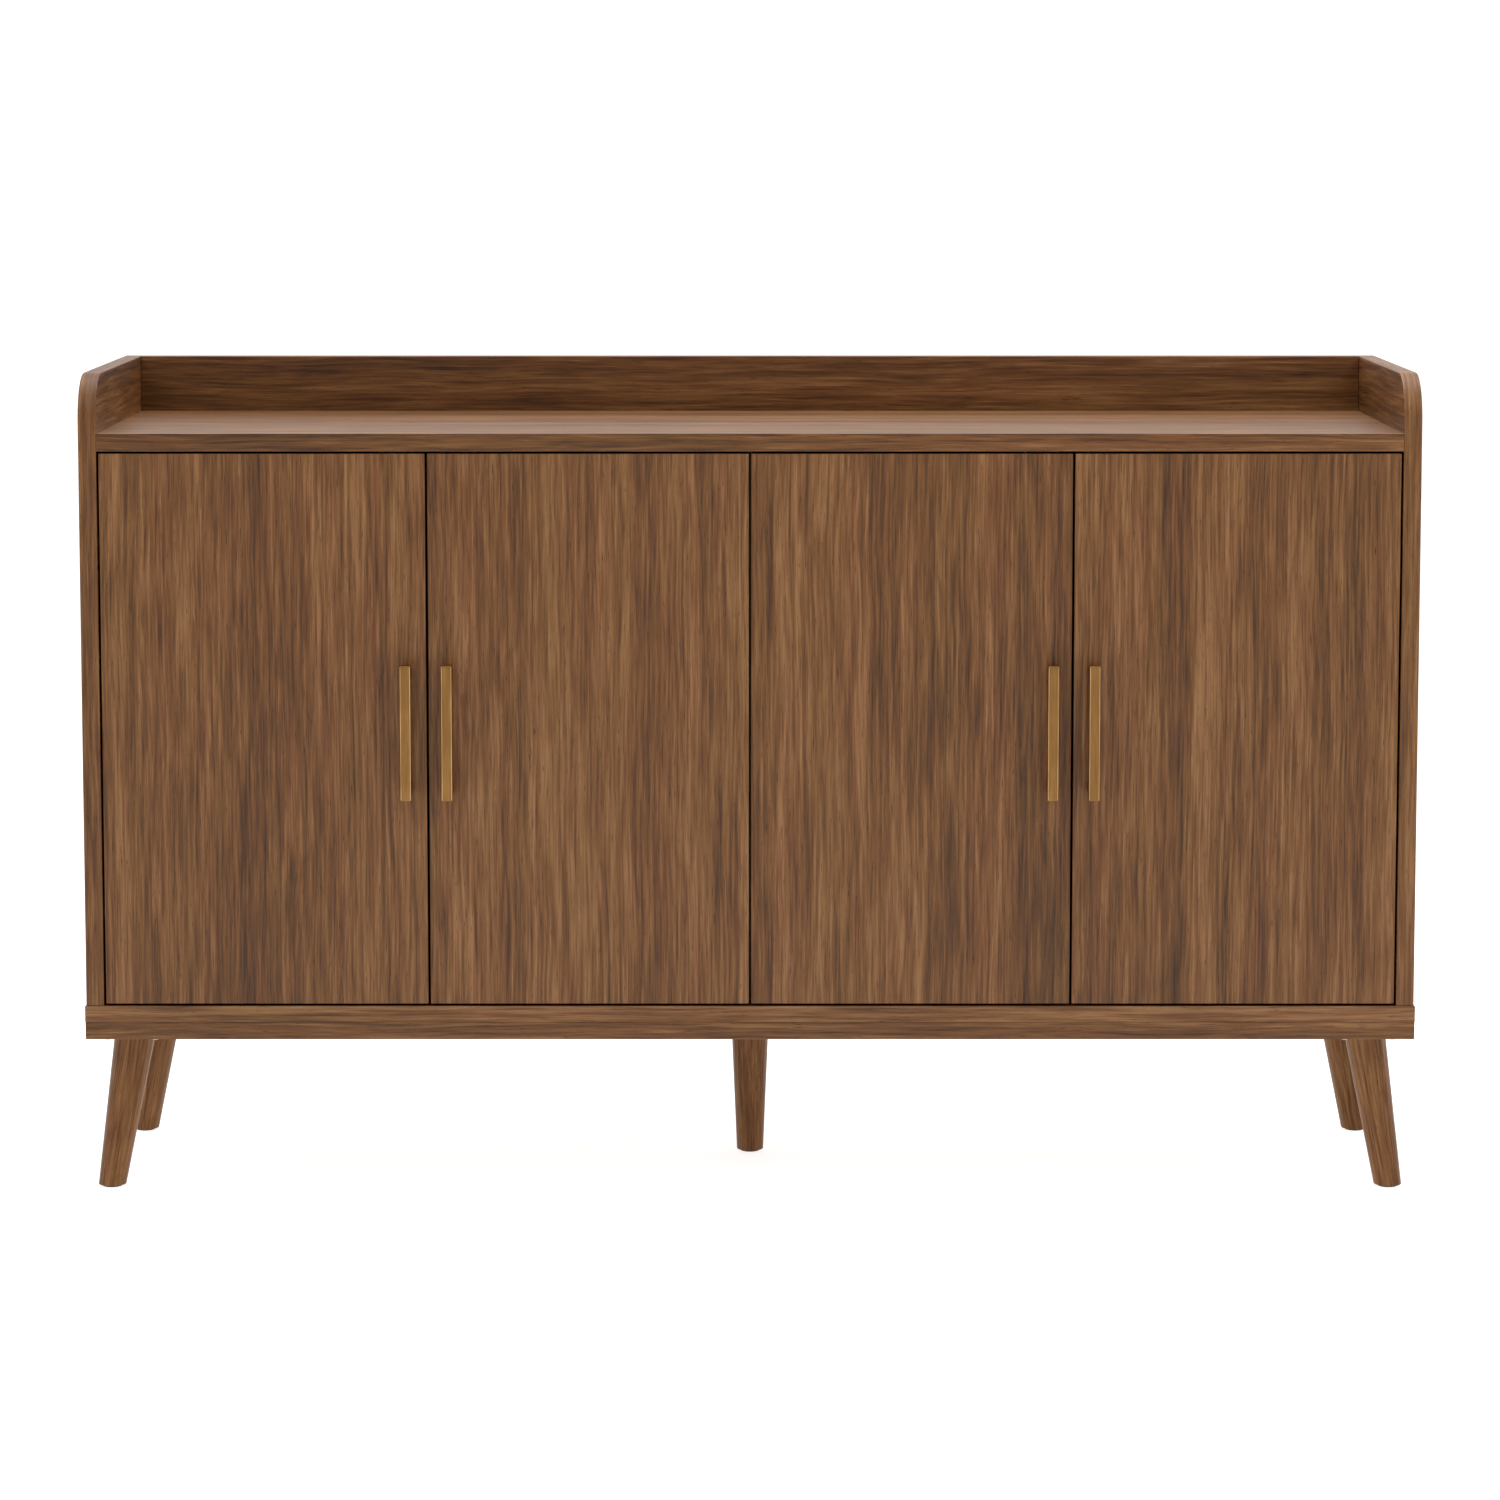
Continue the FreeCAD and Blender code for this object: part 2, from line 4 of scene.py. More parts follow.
import bpy
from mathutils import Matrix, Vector


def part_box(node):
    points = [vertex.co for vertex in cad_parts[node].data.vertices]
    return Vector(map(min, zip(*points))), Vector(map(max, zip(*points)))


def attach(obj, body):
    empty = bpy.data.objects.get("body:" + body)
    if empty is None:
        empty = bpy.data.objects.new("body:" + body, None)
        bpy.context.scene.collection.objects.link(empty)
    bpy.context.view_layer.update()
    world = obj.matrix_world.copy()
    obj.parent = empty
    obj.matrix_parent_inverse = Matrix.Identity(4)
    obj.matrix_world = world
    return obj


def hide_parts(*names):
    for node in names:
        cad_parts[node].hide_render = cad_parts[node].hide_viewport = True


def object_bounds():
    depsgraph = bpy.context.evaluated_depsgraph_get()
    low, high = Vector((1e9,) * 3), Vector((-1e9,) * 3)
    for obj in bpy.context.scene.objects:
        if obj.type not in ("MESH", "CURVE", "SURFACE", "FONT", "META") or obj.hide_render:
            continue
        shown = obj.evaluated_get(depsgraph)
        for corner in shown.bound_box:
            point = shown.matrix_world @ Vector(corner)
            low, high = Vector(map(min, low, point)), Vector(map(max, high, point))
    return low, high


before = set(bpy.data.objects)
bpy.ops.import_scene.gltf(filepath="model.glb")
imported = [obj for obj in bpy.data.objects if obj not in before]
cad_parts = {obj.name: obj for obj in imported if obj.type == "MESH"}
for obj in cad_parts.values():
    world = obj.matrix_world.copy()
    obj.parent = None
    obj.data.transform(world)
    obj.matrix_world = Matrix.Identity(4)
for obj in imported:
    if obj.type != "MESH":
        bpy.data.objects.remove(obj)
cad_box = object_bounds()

bpy.ops.object.select_all(action="DESELECT")

# ---- Base board ---------------------------------------------------------------------------------
# The floor of both cupboards: an 18 mm board veneered in walnut with the grain along its length.
# Its edges are lipped and eased by hand, and its front edge is the upper half of the base.


def linear(hex_colour):
    """An sRGB hex colour as linear RGBA."""
    parts = [int(hex_colour[i:i + 2], 16) / 255 for i in (1, 3, 5)]
    return [p / 12.92 if p <= 0.04045 else ((p + 0.055) / 1.055) ** 2.4 for p in parts] + [1.0]


def add_node(owner, kind, inputs=None, stops=(), **settings):
    """Adds a shader node with its settings; an input is a value or another node's output, and
    stops are the (position, hex colour) pairs of a colour ramp."""
    made = owner.node_tree.nodes.new(kind)
    for name, value in settings.items():
        setattr(made, name, value)
    for name, value in (inputs or {}).items():
        if isinstance(value, bpy.types.NodeSocket):
            owner.node_tree.links.new(value, made.inputs[name])
        else:
            made.inputs[name].default_value = value
    for index, (position, colour) in enumerate(stops):
        points = made.color_ramp.elements
        point = points[index] if index < len(points) else points.new(1.0)
        point.position = position
        point.color = linear(colour)
    return made


def new_material(name):
    """An empty node material."""
    material = bpy.data.materials.new(name)
    material.use_nodes = True
    material.node_tree.nodes.clear()
    return material


def surface(material, **inputs):
    """Closes a material with its shader; an underscore in an input's name stands for a space."""
    named = {name.replace("_", " "): value for name, value in inputs.items()}
    shader = add_node(material, "ShaderNodeBsdfPrincipled", named)
    add_node(material, "ShaderNodeOutputMaterial", {"Surface": shader.outputs["BSDF"]})
    return material


def figure(material, place, size_mm, shift, detail=2.0):
    """Noise with one feature per so many millimetres along X, Y and Z."""
    mapped = add_node(material, "ShaderNodeMapping", {
        "Vector": place,
        "Scale": [1000 / size for size in size_mm],
        "Location": (shift, shift * 1.7, -shift)})
    noise = add_node(material, "ShaderNodeTexNoise", {
        "Vector": mapped.outputs["Vector"], "Scale": 1.0, "Detail": detail, "Roughness": 0.6})
    return noise.outputs["Fac"]


def walnut(name, grain, seed, shade=0.0, lean=0.0, band=False, gloss=1.38):
    """Sliced walnut veneer under satin lacquer: straight streaks a few millimetres wide, broad
    darker bands, drifts of red and olive, and short open pores that catch the light as hollows.

    grain is the axis along which the figure runs, and seed takes another part of the flitch. shade
    makes a board lighter or darker, and lean turns the figure about Y. band takes the figure from
    the piece's own edging attribute. gloss is the lacquer's IOR: low where it is rubbed back.
    """
    material = new_material(name)
    if band:
        place = add_node(material, "ShaderNodeAttribute", attribute_name="edging").outputs["Vector"]
    else:
        place = add_node(material, "ShaderNodeTexCoord").outputs["Object"]
    if lean:
        place = add_node(material, "ShaderNodeMapping", {
            "Vector": place, "Rotation": (0.0, lean, 0.0)}).outputs["Vector"]

    # the grain wanders about 3 mm sideways over a length of 220 mm, which is 4.5 waves a metre
    wander = add_node(material, "ShaderNodeTexNoise", {
        "Vector": place, "Scale": 4.5, "Detail": 1.0})
    centred = add_node(material, "ShaderNodeVectorMath", {
        0: wander.outputs["Color"], 1: (0.5, 0.5, 0.5)}, operation="SUBTRACT")
    bent = add_node(material, "ShaderNodeVectorMath", {
        0: centred.outputs["Vector"], 1: (0.009, 0.009, 0.009), 2: place},
        operation="MULTIPLY_ADD").outputs["Vector"]

    def drawn(across_mm, along_mm, shift, detail=2.0):
        sizes = [along_mm if axis == grain else across_mm for axis in "xyz"]
        return figure(material, bent, sizes, seed + shift, detail)

    # streaks, fine lines, broad bands and half-broad bands, each with its weight in the tone
    layers = ((drawn(4.4, 150, 0.0, 3.0), 0.90),
              (drawn(2.0, 60, 7.3), 0.66),
              (drawn(34, 1400, 3.1, 1.0), 0.52),
              (drawn(13, 360, 5.9), 0.36))
    tone = 0.5 + shade - sum(weight for _, weight in layers) / 2
    for layer, weight in layers:
        tone = add_node(material, "ShaderNodeMath", {0: layer, 1: weight, 2: tone},
                        operation="MULTIPLY_ADD").outputs["Value"]
    olive = add_node(material, "ShaderNodeValToRGB", {"Fac": tone}, stops=(
        (0.15, "#321e07"), (0.38, "#583817"), (0.52, "#6b461f"), (0.85, "#8e683e")))
    red = add_node(material, "ShaderNodeValToRGB", {"Fac": tone}, stops=(
        (0.15, "#372009"), (0.38, "#5e3719"), (0.52, "#704522"), (0.85, "#956843")))
    drift = add_node(material, "ShaderNodeMapRange", {
        "Value": drawn(24, 420, 11.0, 3.0), "From Min": 0.25, "From Max": 0.75})
    colour = add_node(material, "ShaderNodeMix", {
        "Factor": drift.outputs["Result"],
        "A": olive.outputs["Color"],
        "B": red.outputs["Color"]}, data_type="RGBA")

    # pores are 0.2 mm wide; they are drawn about 1 mm wide, because finer ones can't show
    pores = add_node(material, "ShaderNodeMapRange", {
        "Value": drawn(1.1, 20, 17.0), "From Min": 0.26, "From Max": 0.38}).outputs["Result"]
    inked = add_node(material, "ShaderNodeMix", {
        "Factor": pores, "A": linear("#362211"), "B": colour.outputs["Result"]}, data_type="RGBA")
    relief = add_node(material, "ShaderNodeBump", {
        "Height": pores, "Strength": 0.25, "Distance": 0.0001})
    polish = add_node(material, "ShaderNodeMapRange", {
        "Value": drawn(6, 60, 23.0), "To Min": 0.36, "To Max": 0.48})
    return surface(material, Base_Color=inked.outputs["Result"], Roughness=polish.outputs["Result"],
                   Normal=relief.outputs["Normal"], IOR=gloss)


def add_block(name, low, high):
    """A cube stretched between two corners, with its origin left at the world's."""
    bpy.ops.object.select_all(action="DESELECT")
    bpy.ops.mesh.primitive_cube_add(size=1.0, location=(Vector(low) + Vector(high)) / 2)
    piece = bpy.context.object
    piece.name = name
    piece.scale = Vector(high) - Vector(low)
    bpy.ops.object.transform_apply(location=True, rotation=True, scale=True)
    return piece


def take(piece):
    """Makes a piece the only selected one, and the active one."""
    bpy.ops.object.select_all(action="DESELECT")
    piece.select_set(True)
    bpy.context.view_layer.objects.active = piece


def apply_modifier(piece, kind, **settings):
    """Adds a modifier with its settings and applies it."""
    take(piece)
    modifier = piece.modifiers.new(kind.lower(), kind)
    for name, value in settings.items():
        setattr(modifier, name, value)
    bpy.ops.object.modifier_apply(modifier=modifier.name)


def ease(piece, radius, segments=3):
    """Rounds every sharp edge of a piece, as with abrasive paper or a small cutter."""
    apply_modifier(piece, "BEVEL", width=radius, segments=segments, limit_method="ANGLE",
                   angle_limit=math.radians(40))


def cut(piece, cutter):
    """Takes a cutter out of a piece and removes the cutter."""
    apply_modifier(piece, "BOOLEAN", operation="DIFFERENCE", solver="EXACT", object=cutter)
    bpy.data.objects.remove(cutter)


def bore_for(piece, *nodes):
    """Bores a piece for the CAD fasteners that stand in it."""
    for node in nodes:
        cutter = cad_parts[node].copy()
        cutter.data = cutter.data.copy()
        cutter.parent = None
        bpy.context.scene.collection.objects.link(cutter)
        take(cutter)
        bpy.ops.object.mode_set(mode="EDIT")
        bpy.ops.mesh.select_all(action="SELECT")
        bpy.ops.mesh.remove_doubles(threshold=0.000001)
        bpy.ops.object.mode_set(mode="OBJECT")
        cut(piece, cutter)


def fit(piece, body, slot, materials, *nodes):
    """Finishes a piece: materials, face normals, body, and the CAD nodes that it stands for; slot is
    not used.
    """
    for material in materials:
        piece.data.materials.append(material)
    take(piece)
    bpy.ops.object.shade_smooth_by_angle(angle=math.radians(35))
    apply_modifier(piece, "WEIGHTED_NORMAL", mode="FACE_AREA", weight=50, keep_sharp=True)
    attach(piece, body)
    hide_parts(*nodes)


def dress(faces, index, axis):
    """Gives the faces that look along an axis, either way, one of the piece's materials."""
    for face in faces:
        if abs(face.normal["xyz".index(axis)]) > 0.75:
            face.material_index = index


lipping_ease = 0.0006
rebate_slack = 0.0005
cutter_past = 0.01  # how far a cutter stands out of the faces that it opens
walnut_long = walnut("walnut_veneer_base_board", "x", 4.0, shade=0.13)
walnut_end = walnut("walnut_lipping_base_ends", "y", 9.0, shade=0.04)
back_low, back_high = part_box("left_back_panel")
rebate_high_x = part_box("right_back_panel")[1].x + rebate_slack
rebate_low = Vector((-rebate_high_x, back_low.y, back_low.z - rebate_slack))
rebate_high = Vector((rebate_high_x, back_high.y + cutter_past, back_high.z + rebate_slack))

base_board = add_block("base_board_veneered", *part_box("base_board"))
cut(base_board, add_block("cutter", rebate_low, rebate_high))
ease(base_board, lipping_ease)
bore_for(base_board, "carcass_screws")
dress(base_board.data.polygons, 1, "x")
fit(base_board, "carcass", "walnut", [walnut_long, walnut_end], "base_board")

# ---- Base frame ---------------------------------------------------------------------------------
# Five flat rails screwed up under the base board and lipped in the same walnut, a shade darker.
# The eased edges of rail and board leave a fine line, so that the base reads as two layers.

walnut_rail = walnut("walnut_veneer_base_rails", "x", 6.0, shade=0.0)
for side in ("front", "rear", "left", "right", "centre"):
    node = "base_" + side + "_rail"
    rail = add_block(node + "_veneered", *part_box(node))
    ease(rail, lipping_ease)
    bore_for(rail, "frame_screws")
    dress(rail.data.polygons, 1, "x")
    if side in ("left", "right", "centre"):
        dress(rail.data.polygons, 1, "z")
    fit(rail, "carcass", "walnut", [walnut_rail, walnut_end], node)

# ---- Screws of the carcass and the base ---------------------------------------------------------
# Zinc-plated steel chipboard screws. The plating is a bluish grey, a little cloudy, with fine
# turning marks left on the heads.


def plated_steel(name, light, dark, roughness):
    """Electroplated steel: an even metal skin with cloudy patches 6 mm across and 0.4 mm grit."""
    material = new_material(name)
    place = add_node(material, "ShaderNodeTexCoord").outputs["Object"]
    clouds = figure(material, place, (6, 6, 6), 2.0)
    grit = figure(material, place, (0.4, 0.4, 0.4), 5.0)
    polish = add_node(material, "ShaderNodeMapRange", {
        "Value": clouds, "To Min": roughness - 0.08, "To Max": roughness + 0.1})
    relief = add_node(material, "ShaderNodeBump", {
        "Height": grit, "Strength": 0.15, "Distance": 0.00005})
    colour = add_node(material, "ShaderNodeValToRGB", {"Fac": clouds}, stops=(
        (0.3, dark), (0.7, light)))
    return surface(material, Base_Color=colour.outputs["Color"], Metallic=1.0,
                   Roughness=polish.outputs["Result"], Normal=relief.outputs["Normal"])


def refinish(material, *nodes):
    """Gives CAD nodes that stay as they are a material of the real finish."""
    for node in nodes:
        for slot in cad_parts[node].material_slots:
            slot.material = material


zinc = plated_steel("zinc_plated_steel", "#c9cdd2", "#a9aeb4", 0.34)
refinish(zinc, "carcass_screws", "frame_screws")

# ---- Legs ---------------------------------------------------------------------------------------
# Turned beech legs stained to match the walnut, tapered from 46 to 31 mm. The corner legs lean
# outwards and are sawn level at both ends; the middle one is upright. The foot's rim is broken.

leg_top_radius, leg_foot_radius = 0.023, 0.0155
foot_round = 0.0007
leg_low, leg_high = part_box("front_left_leg")
leg_y = (leg_low.y + leg_high.y) / 2
leg_top = Vector((leg_high.x - leg_top_radius, leg_y, leg_high.z))
leg_foot = Vector((leg_low.x + leg_foot_radius, leg_y, leg_low.z))
centre_low, centre_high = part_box("centre_leg")
centre_y = (centre_low.y + centre_high.y) / 2


def turn_leg(name, top, foot):
    """A cone along the leg's axis, sawn level at the top and at the foot."""
    run = top - foot
    over = 0.15  # the cone is longer than the leg by this share at each end, and is sawn back
    widen = (leg_top_radius - leg_foot_radius) * over
    bpy.ops.object.select_all(action="DESELECT")
    bpy.ops.mesh.primitive_cone_add(
        vertices=64, radius1=leg_foot_radius - widen, radius2=leg_top_radius + widen,
        depth=run.length * (1 + 2 * over), location=(top + foot) / 2,
        rotation=run.to_track_quat("Z", "Y").to_euler())
    leg = bpy.context.object
    leg.name = name
    bpy.ops.object.transform_apply(location=True, rotation=True, scale=True)
    bpy.ops.object.mode_set(mode="EDIT")
    for point, outwards in ((foot, -1), (top, 1)):
        bpy.ops.mesh.select_all(action="SELECT")
        bpy.ops.mesh.bisect(plane_co=point, plane_no=(0, 0, outwards), use_fill=True, clear_outer=True)
    bpy.ops.object.mode_set(mode="OBJECT")
    ease(leg, foot_round, segments=4)
    return leg


def copy_piece(piece, name, shift=(0, 0, 0), mirrored=False):
    """A copy with its own mesh, moved, or mirrored about the middle of the sideboard."""
    take(piece)
    bpy.ops.object.duplicate()
    made = bpy.context.object
    made.name = name
    if mirrored:
        made.scale.x = -1
    made.location = shift
    bpy.ops.object.transform_apply(location=True, rotation=True, scale=True)
    if mirrored:
        bpy.ops.object.mode_set(mode="EDIT")
        bpy.ops.mesh.select_all(action="SELECT")
        bpy.ops.mesh.normals_make_consistent(inside=False)
        bpy.ops.object.mode_set(mode="OBJECT")
    return made


lean = math.atan2(leg_top.x - leg_foot.x, leg_top.z - leg_foot.z)
thin_stain = 1.28
stained_left = walnut("walnut_stained_beech_left", "z", 30.0, 0.10, lean=-lean, gloss=thin_stain)
stained_right = walnut("walnut_stained_beech_right", "z", 36.0, 0.09, lean=lean, gloss=thin_stain)
# the middle leg's stain is set darker than the corner legs' (0.07 against 0.10 and 0.09), as painted
# shade under the base
stained_centre = walnut("walnut_stained_beech_centre", "z", 42.0, 0.07, gloss=thin_stain)
rear_low, rear_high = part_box("rear_left_leg")
to_rear = Vector((0, (rear_low.y + rear_high.y) / 2 - leg_y, 0))
front_left = turn_leg("front_left_leg_turned", leg_top, leg_foot)
rear_left = copy_piece(front_left, "rear_left_leg_turned", shift=to_rear)
front_right = copy_piece(front_left, "front_right_leg_turned", mirrored=True)
rear_right = copy_piece(rear_left, "rear_right_leg_turned", mirrored=True)
centre_top = Vector((0, centre_y, leg_high.z))
centre_foot = Vector((0, centre_y, leg_low.z))
centre = turn_leg("centre_leg_turned", centre_top, centre_foot)
fit(front_left, "carcass", "walnut", [stained_left], "front_left_leg")
fit(rear_left, "carcass", "walnut", [stained_left], "rear_left_leg")
fit(front_right, "carcass", "walnut", [stained_right], "front_right_leg")
fit(rear_right, "carcass", "walnut", [stained_right], "rear_right_leg")
fit(centre, "carcass", "walnut", [stained_centre], "centre_leg")

# ---- Leg plates, bolts and glides ---------------------------------------------------------------
# Each leg screws by its stud through a pressed steel plate into the rail, and ends on a nailed-on
# glide of black moulded plastic, which is slightly grained and not quite black.


def moulded_plastic(name, light, dark):
    """Injection-moulded plastic with a spark-eroded grain about 0.5 mm across."""
    material = new_material(name)
    place = add_node(material, "ShaderNodeTexCoord").outputs["Object"]
    grain = figure(material, place, (0.5, 0.5, 0.5), 3.0)
    relief = add_node(material, "ShaderNodeBump", {
        "Height": grain, "Strength": 0.3, "Distance": 0.0001})
    polish = add_node(material, "ShaderNodeMapRange", {
        "Value": grain, "To Min": 0.42, "To Max": 0.6})
    colour = add_node(material, "ShaderNodeValToRGB", {"Fac": grain}, stops=(
        (0.3, dark), (0.7, light)))
    return surface(material, Base_Color=colour.outputs["Color"], IOR=1.53,
                   Roughness=polish.outputs["Result"], Normal=relief.outputs["Normal"])


black_plastic = moulded_plastic("moulded_polypropylene_black", "#232323", "#161616")
refinish(zinc, "leg_plates", "leg_bolts", "leg_plate_screws")
refinish(black_plastic, "foot_glides")

# ---- Side panels --------------------------------------------------------------------------------
# Two 20 mm end boards on the base board, with the front top corner worked to a 52 mm radius. The
# broad faces carry walnut from front to back, and a narrow lipping runs up the front edge and
# over the round. Inside they have two columns of 5 mm holes for shelf pins.

side_low, side_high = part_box("left_side_panel")
corner_radius = 0.052
side_ease = 0.0008
shelf_low, shelf_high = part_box("left_shelf")
pin_radius = 0.0025
pin_depth = 0.008
pin_level = shelf_low.z - pin_radius
pin_columns = (-0.100, 0.170)
pin_step = 0.032
pins_each_way = 4

# the side veneer is set darker (shade -0.03) as painted shade for the gallery's inner faces; the outer
# faces take it too
walnut_side = walnut("walnut_veneer_sides", "y", 14.0, shade=-0.03)
walnut_lipping = walnut("walnut_lipping_sides", "z", 19.0, shade=0.02, band=True)


def run_edging(piece):
    """Stores the length along the lipping, up the front edge and over the round, as an attribute."""
    points = piece.data.vertices
    edging = piece.data.attributes.new("edging", "FLOAT_VECTOR", "POINT")
    middle_y = side_low.y + corner_radius
    middle_z = side_high.z - corner_radius
    quarter = corner_radius * math.pi / 2
    for point in points:
        x, y, z = point.co
        if z <= middle_z:
            along = z
        elif y >= middle_y:
            along = middle_z + quarter + (y - middle_y)
        else:
            along = middle_z + corner_radius * math.atan2(z - middle_z, middle_y - y)
        edging.data[point.index].vector = (x, 0.0, along)


left_side = add_block("left_side_panel_veneered", side_low, side_high)
take(left_side)
bpy.ops.object.mode_set(mode="EDIT")
bpy.ops.mesh.select_all(action="DESELECT")
bpy.ops.object.mode_set(mode="OBJECT")
for edge in left_side.data.edges:
    ends = [left_side.data.vertices[i].co for i in edge.vertices]
    edge.select = all(abs(e.y - side_low.y) < 1e-5 and abs(e.z - side_high.z) < 1e-5 for e in ends)
bpy.ops.object.mode_set(mode="EDIT")
bpy.ops.mesh.select_mode(type="EDGE")
bpy.ops.mesh.bevel(offset=corner_radius, segments=32, affect="EDGES")
bpy.ops.object.mode_set(mode="OBJECT")
cut(left_side, add_block("cutter", rebate_low, rebate_high))
ease(left_side, side_ease)
for y in pin_columns:
    for step in range(-pins_each_way, pins_each_way + 1):
        bpy.ops.object.select_all(action="DESELECT")
        bpy.ops.mesh.primitive_cylinder_add(
            vertices=24, radius=pin_radius, depth=2 * pin_depth,
            location=(side_high.x, y, pin_level + step * pin_step), rotation=(0, math.pi / 2, 0))
        cut(left_side, bpy.context.object)
right_side = copy_piece(left_side, "right_side_panel_veneered", mirrored=True)
rear_edge = 0.005  # the rear edge, less than this from the back, has no lipping
for panel, node in ((left_side, "left_side_panel"), (right_side, "right_side_panel")):
    run_edging(panel)
    for face in panel.data.polygons:
        if abs(face.normal.x) < 0.75 and face.center.y < side_high.y - rear_edge:
            face.material_index = 1
    fit(panel, "carcass", "walnut", [walnut_side, walnut_lipping], node)

# ---- Partition ----------------------------------------------------------------------------------
# An 18 mm upright between the two cupboards, veneered both sides with the grain upright, and
# bored with the same columns of pin holes.

refinish(walnut("walnut_veneer_partition", "z", 51.0), "centre_partition")

# ---- Top panel and upstand ----------------------------------------------------------------------
# The top lies between the sides, 65 mm below their edges, on cam fittings and dowels. The upstand
# is housed in it along the back. Both are veneered lengthways, with their long edges lipped.

top_low, top_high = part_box("top_panel")
upstand_low, upstand_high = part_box("back_upstand")
# the top's veneer is set lighter (shade 0.05) as a painted highlight for the sheen across its front;
# its lipping is set darker
walnut_top = walnut("walnut_veneer_top", "x", 60.0, shade=0.05, gloss=1.5)
# the upstand's veneer is set darker (shade -0.02) as painted shade for the gallery in which it stands
walnut_upstand = walnut("walnut_veneer_upstand", "x", 67.0, shade=-0.02)
walnut_top_lipping = walnut("walnut_lipping_top", "x", 64.0, shade=-0.07)

top_panel = add_block("top_panel_veneered", top_low, top_high)
cut(top_panel, add_block("cutter", rebate_low, rebate_high))
housing_low = Vector((top_low.x - cutter_past, upstand_low.y, upstand_low.z))
housing_high = Vector((top_high.x + cutter_past, upstand_high.y + cutter_past, upstand_high.z))
cut(top_panel, add_block("cutter", housing_low, housing_high))
ease(top_panel, side_ease)
bore_for(top_panel, "cam_nuts")
dress(top_panel.data.polygons, 1, "y")
fit(top_panel, "carcass", "walnut", [walnut_top, walnut_top_lipping], "top_panel")

upstand = add_block("back_upstand_veneered", upstand_low, upstand_high)
ease(upstand, side_ease)
fit(upstand, "carcass", "walnut", [walnut_upstand], "back_upstand")

# ---- Cam fittings and dowels --------------------------------------------------------------------
# Die-cast zinc cam nuts and steel bolts pull the top against the sides, and plain beech dowels
# keep the boards in line. Beech is pale and even, with fine darker flecks 2 mm long.


def beech(name):
    """Planed beech: a pinkish straw colour with short brown ray flecks."""
    material = new_material(name)
    place = add_node(material, "ShaderNodeTexCoord").outputs["Object"]
    flecks = figure(material, place, (0.5, 0.5, 2.0), 1.0)
    polish = add_node(material, "ShaderNodeMapRange", {
        "Value": flecks, "To Min": 0.5, "To Max": 0.65})
    colour = add_node(material, "ShaderNodeValToRGB", {"Fac": flecks}, stops=(
        (0.34, "#9c7046"), (0.46, "#c69c70"), (0.7, "#d4ae84")))
    return surface(material, Base_Color=colour.outputs["Color"], IOR=1.5,
                   Roughness=polish.outputs["Result"])


refinish(zinc, "cam_nuts", "cam_bolts")
refinish(beech("planed_beech"), "dowels")

# ---- Back panels --------------------------------------------------------------------------------
# Two 3 mm hardboard sheets screwed into the rebates. Their faces carry a plain printed walnut
# paper, flatter and greyer than veneer, with the wavy texture of pressed fibre under it.


def printed_hardboard(name):
    """Hardboard with a printed paper: soft upright streaks 9 mm wide and fibre lumps of 1.5 mm."""
    material = new_material(name)
    place = add_node(material, "ShaderNodeTexCoord").outputs["Object"]
    streaks = figure(material, place, (9, 9, 320), 8.0, 3.0)
    fibre = figure(material, place, (1.5, 1.5, 1.5), 4.0)
    relief = add_node(material, "ShaderNodeBump", {
        "Height": fibre, "Strength": 0.2, "Distance": 0.0002})
    polish = add_node(material, "ShaderNodeMapRange", {
        "Value": fibre, "To Min": 0.6, "To Max": 0.75})
    colour = add_node(material, "ShaderNodeValToRGB", {"Fac": streaks}, stops=(
        (0.3, "#5d4229"), (0.5, "#6c4d33"), (0.7, "#7b5a3d")))
    return surface(material, Base_Color=colour.outputs["Color"], IOR=1.5,
                   Roughness=polish.outputs["Result"], Normal=relief.outputs["Normal"])


refinish(printed_hardboard("printed_hardboard"), "left_back_panel", "right_back_panel")
refinish(zinc, "back_panel_screws")

# ---- Shelves ------------------------------------------------------------------------------------
# One loose 18 mm shelf in each cupboard, lipped at the front, lying on four steel pins pushed
# into the middle row of holes.

for side, seed in (("left", 73.0), ("right", 79.0)):
    node = side + "_shelf"
    shelf = add_block(node + "_veneered", *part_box(node))
    ease(shelf, lipping_ease)
    fit(shelf, "carcass", "walnut", [walnut("walnut_veneer_" + node, "x", seed)], node)
refinish(zinc, "shelf_pins")

# ---- Doors --------------------------------------------------------------------------------------
# Four flat 18 mm doors veneered upright, eased 1 mm. Their edge lipping is drawn darker than the
# face: painted shade, so that the gaps between the doors read black.
# Behind, each is bored for two 35 mm hinge cups. Each leaf is cut from another part of the flitch.

door_ease = 0.0010
cup_radius, cup_depth = 0.0175, 0.014
cup_from_edge = 0.0225
hinge_inset = 0.100
hung_left = {"door_1": True, "door_2": False, "door_3": True, "door_4": False}
leaf_shades = {"door_1": 0.0, "door_2": 0.0, "door_3": 0.0, "door_4": 0.03}
rubbed_back = 1.15
# the door lipping's darker tone (shade -0.22) is painted shade for the gaps between the doors
door_ends_painted_shade = walnut("walnut_lipping_door_ends_painted_shade", "x", 99.0, -0.22, gloss=rubbed_back)
door_edges_painted_shade = walnut("walnut_lipping_door_edges_painted_shade", "z", 103.0, -0.22, gloss=rubbed_back)

